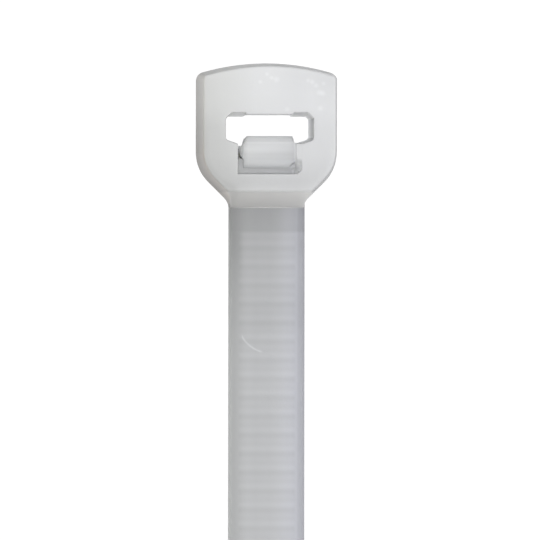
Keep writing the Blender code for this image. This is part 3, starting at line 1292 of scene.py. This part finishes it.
@dataclass(frozen=True)
class NaturalNylon:
    """Milky nylon: whiter where it is thick, greyer and cooler where it is thin, with light and shade
    painted into its colour: lighter towards the right and the far end of the head, painted shade on
    the head's left rim, flanks and edges, in the pawl's dent and on the strap near the neck, painted
    light on the slot's walls and in the pocket, and painted glints on the head's top.

    Places are in millimetres: along runs from the neck line to the head's far end, and down the
    strap it is below zero. Tones are shares of white in linear light. Pairs named edge, facing or
    depths say where a smooth change starts and ends, and those named run where an opening does.
    The grain's height and the depth of the subsurface light are in metres.
    """

    head: Head
    pawl: Pawl
    neck_edge: Pair = (-0.02, 0.05)
    # Along the head: partly the nylon's own tone, partly painted light, brighter on the steep ramp and
    # towards the far end, with painted shade just above the ramp's rounded edge.
    head_tones_and_painted_light: Stops = (
        (-0.05, 0.60), (0.01, 0.61), (0.035, 0.69), (0.08, 0.74), (0.25, 0.76), (0.37, 0.79),
        (0.44, 0.80), (0.47, 0.80), (0.503, 0.78), (0.537, 0.64), (0.571, 0.54), (0.62, 0.595),
        (0.90, 0.585), (1.75, 0.655), (2.7, 0.68), (3.3, 0.745), (3.8, 0.77), (4.85, 0.775),
    )
    # Across the head: painted light, lighter towards the right where the lamps fall and darker towards
    # the left.
    head_cross_painted_light: Stops = (
        (-2.38, 0.85), (-2.0, 0.865), (-1.6, 0.91), (-1.2, 0.94), (-0.5, 1.0), (0.9, 1.02),
        (1.4, 1.06), (2.1, 1.05), (2.38, 1.03),
    )
    # Along the strap: the thin strap's own grey tone, with painted shade growing towards the neck where
    # the head's shade falls.
    strap_tones_and_neck_shade: Stops = (
        (-12.0, 0.525), (-5.2, 0.520), (-4.2, 0.502), (-3.9, 0.482), (-2.5, 0.471),
        (-1.55, 0.450), (-0.84, 0.423), (-0.76, 0.358), (0.0, 0.333),
    )
    # Across the strap: the rails darker in the nylon's own tone, with painted light towards the right
    # and painted light and shade at the rounded edges.
    strap_cross_and_painted_light: Stops = (
        (-1.31, 1.30), (-1.24, 1.06), (-1.16, 0.86), (-1.07, 0.87), (-0.99, 0.91),
        (-0.89, 0.945), (-0.78, 0.99), (-0.65, 1.01), (-0.38, 0.97), (0.09, 0.99), (0.29, 1.03),
        (0.60, 1.095), (0.80, 1.10), (0.92, 1.075), (1.00, 1.08), (1.05, 0.98), (1.15, 0.90),
        (1.22, 0.88), (1.26, 0.88), (1.31, 0.95),
    )
    # Painted light and shade along the pawl's crowned top, and painted shade at its left edge.
    pawl_painted_light_and_shade: Stops = (
        (1.07, 0.78), (1.50, 0.76), (1.60, 0.735), (1.72, 0.69), (1.80, 0.665), (1.87, 0.69),
        (1.95, 0.725), (2.13, 0.72), (2.19, 0.77), (2.24, 0.69), (2.30, 0.715), (2.36, 0.70),
        (2.42, 0.75),
    )
    pawl_left_edge_shade: Stops = (
        (-0.99, 0.90), (-0.87, 0.88), (-0.85, 0.86), (-0.80, 0.91), (-0.75, 0.96), (-0.70, 1.0),
        (0.99, 1.0),
    )
    # Painted shade in a band inside the head's left rim and shoulder, by distance from the outline,
    # stronger towards the neck.
    rim_shade_tones: Stops = (
        (0.0, 0.90), (0.18, 0.92), (0.25, 0.94), (0.29, 0.965), (0.38, 1.0), (1.0, 1.0),
    )
    rim_shade_growth: Stops = ((0.0, 1.3), (1.55, 1.6), (2.45, 1.2), (3.4, 0.6), (4.9, 0.4))
    rim_shade_fade: float = 0.3
    # Painted shade towards the head's far right corner.
    far_right_start: float = 2.7
    far_right_shade: float = 0.04
    # Painted shade on the head's flanks that face left, deeper low down and towards the neck;
    # edge_shade is painted shade on the edges that face right and the far end.
    flank_shade_depths: Stops = ((0.0, 0.25), (1.0, 0.20), (1.8, 0.12), (2.7, 0.04), (3.3, 0.0))
    flank_shade_growth: Stops = ((0.0, 1.9), (1.55, 2.2), (2.45, 1.3), (3.4, 0.9), (4.9, 0.8))
    left_facing: Pair = (-0.15, -0.6)
    right_facing: Pair = (0.2, 0.7)
    end_facing: Pair = (0.45, 0.9)
    edge_shade: float = 0.25
    # Painted light on the slot's walls: brighter low down near the table, near white on the far wall.
    slot_wall_painted_light: Stops = ((0.0, 0.84), (1.4, 0.80), (2.0, 0.64), (3.3, 0.58))
    slot_run: Pair = (2.0, 3.3)
    slot_margin: float = 0.16
    slot_below: float = 0.02
    far_wall_painted_light: float = 0.97
    far_wall_facing: Pair = (-0.3, -0.7)
    pocket_run: Pair = (1.06, 2.45)
    pocket_margin: float = 0.03
    pocket_below: float = 0.006
    # Painted light: near white on the pocket's deep floor and side walls, which cancels their shade.
    white: float = 0.97
    # Painted light on the web beside the pawl, which hides the shade of its slope.
    web_edge: Pair = (0.82, 0.90)
    web_painted_light: float = 0.97
    web_depths: Pair = (0.01, 0.22)
    # Painted shade on the web's front face, which faces the far end.
    web_front_facing: Pair = (0.6, 0.9)
    web_front_edge: Pair = (0.86, 0.88)
    web_front_painted_shade: float = 0.40
    shelf_end: float = 1.655
    shelf_depths: Pair = (0.97, 1.05)
    shelf_tone: float = 0.63
    # Painted light on the outer part of the web behind the pawl.
    rear_web_edge: Pair = (0.74, 0.88)
    rear_web_painted_light: float = 0.95
    wall_facing: Pair = (0.90, 0.97)
    dent_half: float = 0.055
    dent_edge: Pair = (1.25, 0.25)
    dent_shade: float = 0.16
    # Painted shade on the left rail and painted light on the right side, near the head.
    left_rail_edge: Pair = (-0.75, -1.0)
    left_rail_shades: Stops = (
        (-3.6, 0.0), (-2.45, 0.06), (-1.6, 0.13), (-0.86, 0.13), (-0.76, 0.0), (0.0, 0.0),
    )
    right_edge: Pair = (0.1, 0.8)
    right_painted_light: Stops = (
        (-3.0, 0.0), (-2.45, 0.03), (-1.8, 0.06), (-1.2, 0.05), (-0.84, 0.10), (-0.5, 0.15),
        (0.0, 0.15),
    )
    band_edge: Pair = (1.0, 0.9)
    band_shift: float = 0.164
    band_gain: float = 0.027
    scratch_centre: Pair = (0.124, -3.768)
    scratch_radius: float = 1.114
    scratch_reach: Pair = (-0.87, -0.12)
    scratch_fades: Pair = (0.05, 0.12)
    scratch_width: float = 0.055
    scratch_gain: float = 0.11
    # Painted glints: pale spots on the head's top where the lamps catch its surface.
    painted_glints: tuple[Triple, ...] = (
        (-0.10, 4.48, 0.07), (0.22, 4.30, 0.10), (-0.33, 4.22, 0.07), (1.42, 4.22, 0.08),
        (1.55, 4.10, 0.08), (1.80, 4.17, 0.07), (1.66, 3.87, 0.10), (1.78, 3.84, 0.09),
        (1.28, 4.27, 0.07), (0.05, 4.36, 0.07), (0.58, 3.30, 0.09), (1.69, 3.33, 0.09),
    )
    glint_depth: float = 0.1
    glint_gain: float = 0.06
    glint_spread: float = 1.5
    cool: Pair = (0.990, 1.000)
    cold: Pair = (0.985, 1.000)
    # warm and warmer give a warm cast painted into the shade of the head's left edge, ramp and left
    # flank.
    warm: Triple = (1.025, 1.000, 0.95)
    warmer: Triple = (1.09, 1.02, 0.945)
    head_blues: Stops = (
        (-2.38, 0.985), (-1.50, 0.992), (-0.50, 1.008), (0.50, 1.015), (2.38, 1.018),
    )
    strap_blues: Stops = (
        (-1.31, 0.995), (-1.10, 1.005), (-0.60, 1.02), (0.30, 1.03), (0.75, 1.06), (1.10, 1.085),
        (1.31, 1.085),
    )
    warm_edge: Pair = (-2.1, -2.3)
    ramp_edge: Pair = (0.62, 0.45)
    ramp_warmth: float = 0.5
    flank_facing: Pair = (-0.3, -0.7)
    flank_edge: Pair = (2.6, 1.6)
    cloud: float = 0.026
    cloud_scale: float = 0.9
    cloud_detail: float = 3.0
    roughness: float = 0.46
    roughness_spread: float = 0.05
    grain: float = 0.10
    grain_height: float = 0.00002
    grain_scale: float = 9.0
    grain_detail: float = 4.0
    subsurface: float = 0.8
    subsurface_depth: float = 0.0005
    subsurface_colour: Triple = (1.0, 1.0, 0.95)

    @property
    def top(self) -> float:
        """Height of the head above the table."""
        return self.head.opening.head_height

    def build(self) -> bpy.types.Material:
        """Make the material: its colour with light and shade painted in, a satin gloss that varies, and
        a fine moulded grain.

        Returns:
            The material.
        """
        material = bpy.data.materials.new("natural_nylon")
        graph = Graph(material)
        source = graph.add("TexCoord", {}).outputs
        neck = (0, -self.head.opening.neck_line, 0)
        mapped = {"Vector": source["Object"], "Location": neck, "Scale": (METRE, METRE, METRE)}
        place = graph.add("Mapping", mapped)
        spot = Spot(*graph.split(place), graph.split(source["Normal"]))
        in_head = spot.along.rise(*self.neck_edge)
        cloud = graph.noise(place, self.cloud_scale, self.cloud_detail)
        tone = in_head.blend(self.strap_tone(spot), self.head_tone(spot))
        tone = tone * (cloud * self.cloud + 1.0) + self.marks(spot)
        grain = graph.noise(place, self.grain_scale, self.grain_detail)
        bumps = {"Strength": self.grain, "Distance": self.grain_height, "Height": grain}
        inputs = {
            "Base Color": graph.add("CombineColor", self.tint(tone, spot, in_head)),
            "Roughness": cloud * self.roughness_spread + self.roughness,
            "Normal": graph.add("Bump", bumps),
            "Subsurface Weight": self.subsurface,
            "Subsurface Radius": self.subsurface_colour,
            "Subsurface Scale": self.subsurface_depth,
        }
        for name, value in inputs.items():
            graph.feed(value, graph.nodes["Principled BSDF"].inputs[name])
        return material

    def zone(self, spot: Spot, half: float, run: Pair, below: float) -> Term:
        """Where an opening of the head lies.

        Args:
            spot: The place.
            half: Half the opening's width.
            run: Where it starts and ends along the head.
            below: How far below the head's top it starts.

        Returns:
            1 inside it and 0 elsewhere.
        """
        wide = abs(spot.across).below(half) * spot.up.below(self.top - below)
        return wide * spot.along.above(run[0]) * spot.along.below(run[1])

    def head_tone(self, spot: Spot) -> Term:
        """The head's tone, with painted light and shade: lighter towards the right and the far end,
        painted shade on its left rim, flanks and edges, and painted light on its slot's walls and in
        its pocket.

        Args:
            spot: The place.

        Returns:
            The tone.
        """
        # Painted shade along the head's left rim and at its far right corner, with painted light across
        # it.
        x, y = self.head.shoulder_centre(0.0)
        side = (abs(spot.across) - x).at_least(0.0)
        reach = side.hypot((y - spot.along).at_least(0.0))
        rim = 1.0 - (self.head.shoulder_radius - reach).curve(self.rim_shade_tones)
        rim = rim * spot.along.curve(self.rim_shade_growth) * spot.across.rise(-x, -x - self.rim_shade_fade)
        far_right = spot.across.at_least(0.0) * (spot.along - self.far_right_start).at_least(0.0)
        plain = spot.along.curve(self.head_tones_and_painted_light) * spot.across.curve(self.head_cross_painted_light)
        plain = plain * (1.0 - rim) * (1.0 - far_right * self.far_right_shade)

        # Painted shade on the flanks and rounded edges, by the way they face.
        left = spot.facing[0].rise(*self.left_facing)
        shade = left * spot.up.curve(self.flank_shade_depths) * spot.along.curve(self.flank_shade_growth)
        right = spot.facing[0].rise(*self.right_facing)
        shade = shade + right.at_least(spot.facing[1].rise(*self.end_facing)) * self.edge_shade
        tone = plain * (1.0 - shade)

        # Painted light on the slot's walls and in the pocket.
        opening = self.head.opening
        far_wall = spot.facing[1].rise(*self.far_wall_facing)
        wall = far_wall.blend(spot.up.curve(self.slot_wall_painted_light), self.far_wall_painted_light)
        half = opening.base_half + self.slot_margin
        tone = self.zone(spot, half, self.slot_run, self.slot_below).blend(tone, wall)
        half = opening.pocket_half + self.pocket_margin
        pocket = self.pocket_tone(spot, plain)
        return self.zone(spot, half, self.pocket_run, self.pocket_below).blend(tone, pocket)

    def pocket_tone(self, spot: Spot, plain: Term) -> Term:
        """The tone of the pawl, of the web at its right and of the pocket's depths, with painted light
        and shade: painted light on the web and near white in the depths and on the side walls, painted
        shade on the web's front, in the dent and at the pawl's left edge.

        Args:
            spot: The place.
            plain: The head's tone there, with its painted light and rim shade.

        Returns:
            The tone.
        """
        down = self.top - spot.up
        web = spot.across.rise(*self.web_edge)
        # painted light and shade on the pawl's top, darker at its left edge, with painted shade in its
        # dent
        tone = spot.along.curve(self.pawl_painted_light_and_shade) * spot.across.curve(self.pawl_left_edge_shade)
        tone = web.blend(tone, self.web_painted_light) * (1.0 - self.dent(spot) * self.dent_shade)
        # painted light on the rear web, and near white painted light in the depths below the shelf and
        # on the side walls
        shelf = spot.across.rise(*self.rear_web_edge).blend(self.shelf_tone, self.rear_web_painted_light)
        below = spot.along.below(self.shelf_end).blend(self.white, shelf)
        tone = down.rise(*self.shelf_depths).blend(tone, below)
        tone = abs(spot.facing[0]).rise(*self.wall_facing).blend(tone, self.white)
        # painted shade on the web's front face
        front = spot.facing[1].rise(*self.web_front_facing) * spot.across.rise(*self.web_front_edge)
        tone = front.blend(tone, self.web_front_painted_shade)
        shallow = (1.0 - down.rise(*self.web_depths)) * web * (1.0 - front)
        return shallow.blend(tone, plain)

    def dent(self, spot: Spot) -> Term:
        """The shade in the dent at the pawl's back right corner.

        Args:
            spot: The place.

        Returns:
            1 in its middle and 0 beside it.
        """
        x, y = self.pawl.dent_place
        long, wide = self.pawl.dent_size[0], self.dent_half
        cosine, sine = math.cos(self.pawl.dent_turn), math.sin(self.pawl.dent_turn)
        side, fore = spot.across - x, spot.along - y
        lengthwise = side * (cosine / long) + fore * (sine / long)
        sideways = fore * (cosine / wide) - side * (sine / wide)
        return lengthwise.hypot(sideways).rise(*self.dent_edge)

    def strap_tone(self, spot: Spot) -> Term:
        """The strap's tone: darker rails, faint bands where the teeth lie below, and painted light and
        shade: darker towards the neck where the head's shade falls, lighter towards the right, painted
        shade on the left rail and painted light on the right side near the head.

        Args:
            spot: The place.

        Returns:
            The tone.
        """
        # painted shade on the left rail and painted light on the right side
        left = spot.across.rise(*self.left_rail_edge) * spot.along.curve(self.left_rail_shades)
        right = spot.across.rise(*self.right_edge) * spot.along.curve(self.right_painted_light)
        tone = spot.along.curve(self.strap_tones_and_neck_shade) * spot.across.curve(self.strap_cross_and_painted_light)
        tone = tone * (right - left + 1.0)
        rack = self.pawl.rack
        from_rack = spot.along + (self.head.opening.neck_line - rack.start)
        turn = (from_rack - self.band_shift) * (2 * math.pi / rack.pitch)
        band = (turn.sine() + (turn * 2.0).sine()) * abs(spot.across).rise(*self.band_edge)
        return tone * (band * from_rack.below(0.0) * self.band_gain + 1.0)

    def marks(self, spot: Spot) -> Term:
        """What the white hairline on the strap and the painted glints on the head's top add.

        Args:
            spot: The place.

        Returns:
            What they add to the tone.
        """
        first, last = self.scratch_reach
        start, end = self.scratch_fades
        line = abs(spot.distance(self.scratch_centre) - self.scratch_radius)
        line = line.rise(self.scratch_width, 0.0) * spot.along.below(self.scratch_centre[1])
        line = line * spot.across.rise(first, first + start) * spot.across.rise(last, last - end)
        above = spot.up.above(self.head.opening.strap.thickness / 2)
        total = line * above * self.scratch_gain
        # painted glints on the head's top
        on_top = spot.up.above(self.top - self.glint_depth) * self.glint_gain
        for x, y, radius in self.painted_glints:
            glint = spot.distance((x, y)).rise(radius * self.glint_spread, 0.0)
            total = total + glint * on_top
        return total

    def tint(self, tone: Term, spot: Spot, in_head: Term) -> dict[int, Term]:
        """Colour a tone: cool on the head, cold on the strap, and a warm cast painted into the shade of
        the head's left edge, ramp and left flank.

        Args:
            tone: The tone.
            spot: The place.
            in_head: 1 in the head and 0 in the strap.

        Returns:
            The tones of red, green and blue, by number.
        """
        ramp = spot.along.rise(*self.ramp_edge) * self.ramp_warmth
        warm = spot.across.rise(*self.warm_edge).at_least(ramp) * in_head
        beside = spot.across.below(-self.head.opening.strap.half) * in_head
        flank = beside * spot.facing[0].rise(*self.flank_facing) * spot.along.rise(*self.flank_edge)
        cool = (*self.cool, spot.across.curve(self.head_blues))
        cold = (*self.cold, spot.across.curve(self.strap_blues))
        colour = {}
        for number, ways in enumerate(zip(cool, cold, self.warm, self.warmer)):
            head, strap, hot, hotter = ways
            plain = warm.blend(in_head.blend(strap, head), hot)
            colour[number] = tone * flank.blend(plain, hotter)
        return colour


@dataclass
class Moulding:
    """The whole tie, joined from its shaped parts into one solid.

    The places named low and high are the corners of the CAD solid's box, in metres.
    """

    low: Vector
    high: Vector
    neck_length: float = 0.80
    smooth_angle: float = math.radians(32)
    weld: float = 0.007

    def build(self) -> Item:
        """Make the moulding in metres, in the frame's own place.

        Returns:
            The finished piece.
        """
        strap = Strap((self.high.y - self.low.y) * METRE)
        opening = Opening(strap, (self.high.z - self.low.z) * METRE, neck_line=0.0)
        head = Head(opening, (self.high.x - self.low.x) * METRE / 2)
        opening.neck_line = strap.length / 2 - head.length
        rack = Rack(strap, opening.neck_line - self.neck_length)
        pawl = Pawl(opening, rack)

        body = head.build()
        Bench.combine(body, strap.build(opening.neck_line + opening.front_wall / 2), Join.ADD)
        Bench.combine(body, opening.slot_cutter(), Join.CUT)
        Bench.combine(body, opening.pocket_cutter(), Join.CUT)
        Bench.combine(body, opening.lip_cutter(), Join.CUT)
        Bench.combine(body, pawl.build(), Join.ADD)
        Bench.combine(body, Flash(pawl).build(), Join.ADD)
        Bench.combine(body, pawl.dent(), Join.CUT)
        Bench.combine(body, rack.build(), Join.CUT)
        Bench.combine(body, strap.grip(), Join.CUT)
        self.weld_shoulders(body, opening)
        self.finish(body)
        body.data.materials.clear()
        body.data.materials.append(NaturalNylon(head, pawl).build())
        LOG.info("moulding: %.1f mm long, %d teeth", strap.length, rack.count)
        return body

    def weld_shoulders(self, body: Item, opening: Opening) -> None:
        """Weld the twin corners where the slot's near shoulders run into its rounded rim.

        Args:
            body: The moulding.
            opening: Its slot and pocket.
        """
        rim = opening.head_height - opening.lip_radius
        near = opening.neck_line + opening.near
        inner = opening.pocket_half + opening.side_clearance

        def on_shoulder(place: Vector) -> bool:
            """Whether a corner lies on a near shoulder, just below the rounded rim."""
            level = abs(place.z - rim) < opening.sliver
            beside = near < place.y < near + opening.strap.thickness / 2
            return level and beside and abs(place.x) > inner

        Bench.take(body)
        Bench.pick(body, on_shoulder)
        with Bench.editing():
            bpy.ops.mesh.remove_doubles(threshold=self.weld)

    def finish(self, body: Item) -> None:
        """Shrink the solid to metres and shade its rounded edges smooth.

        Args:
            body: The moulding.
        """
        body.name = "tie_moulding"
        body.data.name = "tie_moulding"
        body.scale = (1 / METRE,) * 3
        Bench.take(body)
        bpy.ops.object.transform_apply(location=True, rotation=True, scale=True)
        bpy.ops.object.shade_smooth_by_angle(angle=self.smooth_angle)
        Bench.apply(body, "WEIGHTED_NORMAL", keep_sharp=True)


@dataclass(frozen=True)
class Lamp:
    """A soft rectangular panel of light, in metres and watts."""

    name: str
    way: Triple
    far: float
    size: Pair
    power: float

    def build(self, target: Vector) -> None:
        """Hang the panel up.

        Args:
            target: The place that it faces.
        """
        data = bpy.data.lights.new(self.name, "AREA")
        data.shape = "RECTANGLE"
        data.size, data.size_y = self.size
        data.energy = self.power
        lamp = bpy.data.objects.new(self.name, data)
        direction = Vector(self.way).normalized()
        lamp.location = target + direction * self.far
        lamp.rotation_euler = aimed(direction).to_euler()
        bpy.context.scene.collection.objects.link(lamp)
        LOG.info("lamp %s: %.2f W", self.name, self.power)


@dataclass
class Studio:
    """A white table, soft light and a camera that looks down on the head, in metres."""

    target: Triple = (0.000135, 0.04303, 0.0)
    distance: float = 0.70
    yaw: float = math.radians(2.22)
    pitch: float = math.radians(0.35)
    roll: float = math.radians(0.08)
    view_width: float = 0.01822
    sensor: float = 36.0
    clip_start: float = 0.001
    table_size: float = 0.8
    table_drop: float = 0.00002
    table_bounce: float = 0.45
    table_glow: float = 0.96
    table_shade: float = 0.12
    ambient: float = 0.45
    under_glow: float = 0.22
    slot_glow: float = 0.50
    glow_across: Pair = (-0.0016, 0.0016)
    glow_along: Pair = (0.0467, 0.0486)
    lamps: tuple[Lamp, ...] = (
        Lamp("overhead", (-0.01, -0.02, 1.0), 0.5, (0.16, 0.03), 1.05),
        Lamp("side", (0.75, -0.55, 0.8), 0.5, (0.2, 0.2), 0.24),
    )

    def table(self) -> Item:
        """A pale floor that looks white to the camera and keeps a faint shadow.

        Returns:
            The floor.
        """
        bpy.ops.mesh.primitive_plane_add(size=self.table_size, location=(0, 0, -self.table_drop))
        floor = bpy.context.active_object
        floor.name = "table"
        material = bpy.data.materials.new("white_table")
        graph = Graph(material)
        graph.nodes.clear()
        bounce = graph.add("BsdfDiffuse", {"Color": (*(self.table_bounce,) * 3, 1)})
        under = graph.add("Emission", {"Strength": self.below_slot(graph) + self.under_glow})
        unseen = graph.add("AddShader", {0: bounce, 1: under})
        glow = graph.add("Emission", {"Strength": self.table_glow})
        faint = graph.add("BsdfDiffuse", {"Color": (*(self.table_shade,) * 3, 1)})
        seen = graph.add("AddShader", {0: glow, 1: faint})
        rays = graph.seen_by("Camera", "Glossy", "Transmission")
        surface = graph.add("MixShader", {0: rays, 1: unseen, 2: seen})
        graph.add("OutputMaterial", {"Surface": surface})
        floor.data.materials.append(material)
        LOG.info("table: %.2f m wide", self.table_size)
        return floor

    def below_slot(self, graph: Graph) -> Term:
        """How much more strongly the table shines up below the slot than elsewhere.

        Args:
            graph: The table's nodes.

        Returns:
            The added strength.
        """
        across, along, _ = graph.split(graph.add("NewGeometry", {}).outputs["Position"])
        wide = across.above(self.glow_across[0]) * across.below(self.glow_across[1])
        deep = along.above(self.glow_along[0]) * along.below(self.glow_along[1])
        return wide * deep * self.slot_glow

    def world(self) -> None:
        """Even white light from all round, which the camera sees as pure white."""
        world = bpy.data.worlds.new("studio")
        bpy.context.scene.world = world
        graph = Graph(world)
        seen = graph.seen_by("Camera", "Transmission")
        strength = graph.add("MapRange", {"Value": seen, "To Min": self.ambient, "To Max": 1.0})
        background = graph.nodes["Background"].inputs
        graph.feed((1, 1, 1, 1), background["Color"])
        graph.feed(strength, background["Strength"])

    def camera(self) -> None:
        """Look down on the head from slightly left, through a long lens."""
        data = bpy.data.cameras.new("camera")
        data.sensor_width = self.sensor
        data.lens = self.sensor * self.distance / self.view_width
        data.clip_start = self.clip_start
        camera = bpy.data.objects.new("camera", data)
        toward = Vector((-math.tan(self.yaw), -math.tan(self.pitch), 1)).normalized()
        turn = (aimed(toward) @ Matrix.Rotation(self.roll, 3, "Z")).to_quaternion()
        place = Vector(self.target) + toward * self.distance
        camera.matrix_world = Matrix.LocRotScale(place, turn, None)
        bpy.context.scene.collection.objects.link(camera)
        bpy.context.scene.camera = camera
        LOG.info("camera: %.2f m away, lens %.0f mm", self.distance, data.lens)

    def build(self) -> None:
        """Set up the table, the light and the camera."""
        self.table()
        self.world()
        for lamp in self.lamps:
            lamp.build(Vector(self.target))
        self.camera()
        bpy.context.scene.view_settings.view_transform = "Standard"


def main() -> None:
    """Build the tie and its setting, and say what was made."""
    logging.basicConfig(level=logging.INFO, format="%(name)s: %(message)s")
    low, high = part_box("cable_tie")
    piece = Moulding(low, high).build()
    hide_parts("cable_tie")
    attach(piece, "root")
    LOG.info("piece %s: %d faces", piece.name, len(piece.data.polygons))
    Studio().build()


if __name__ == "__main__":
    main()
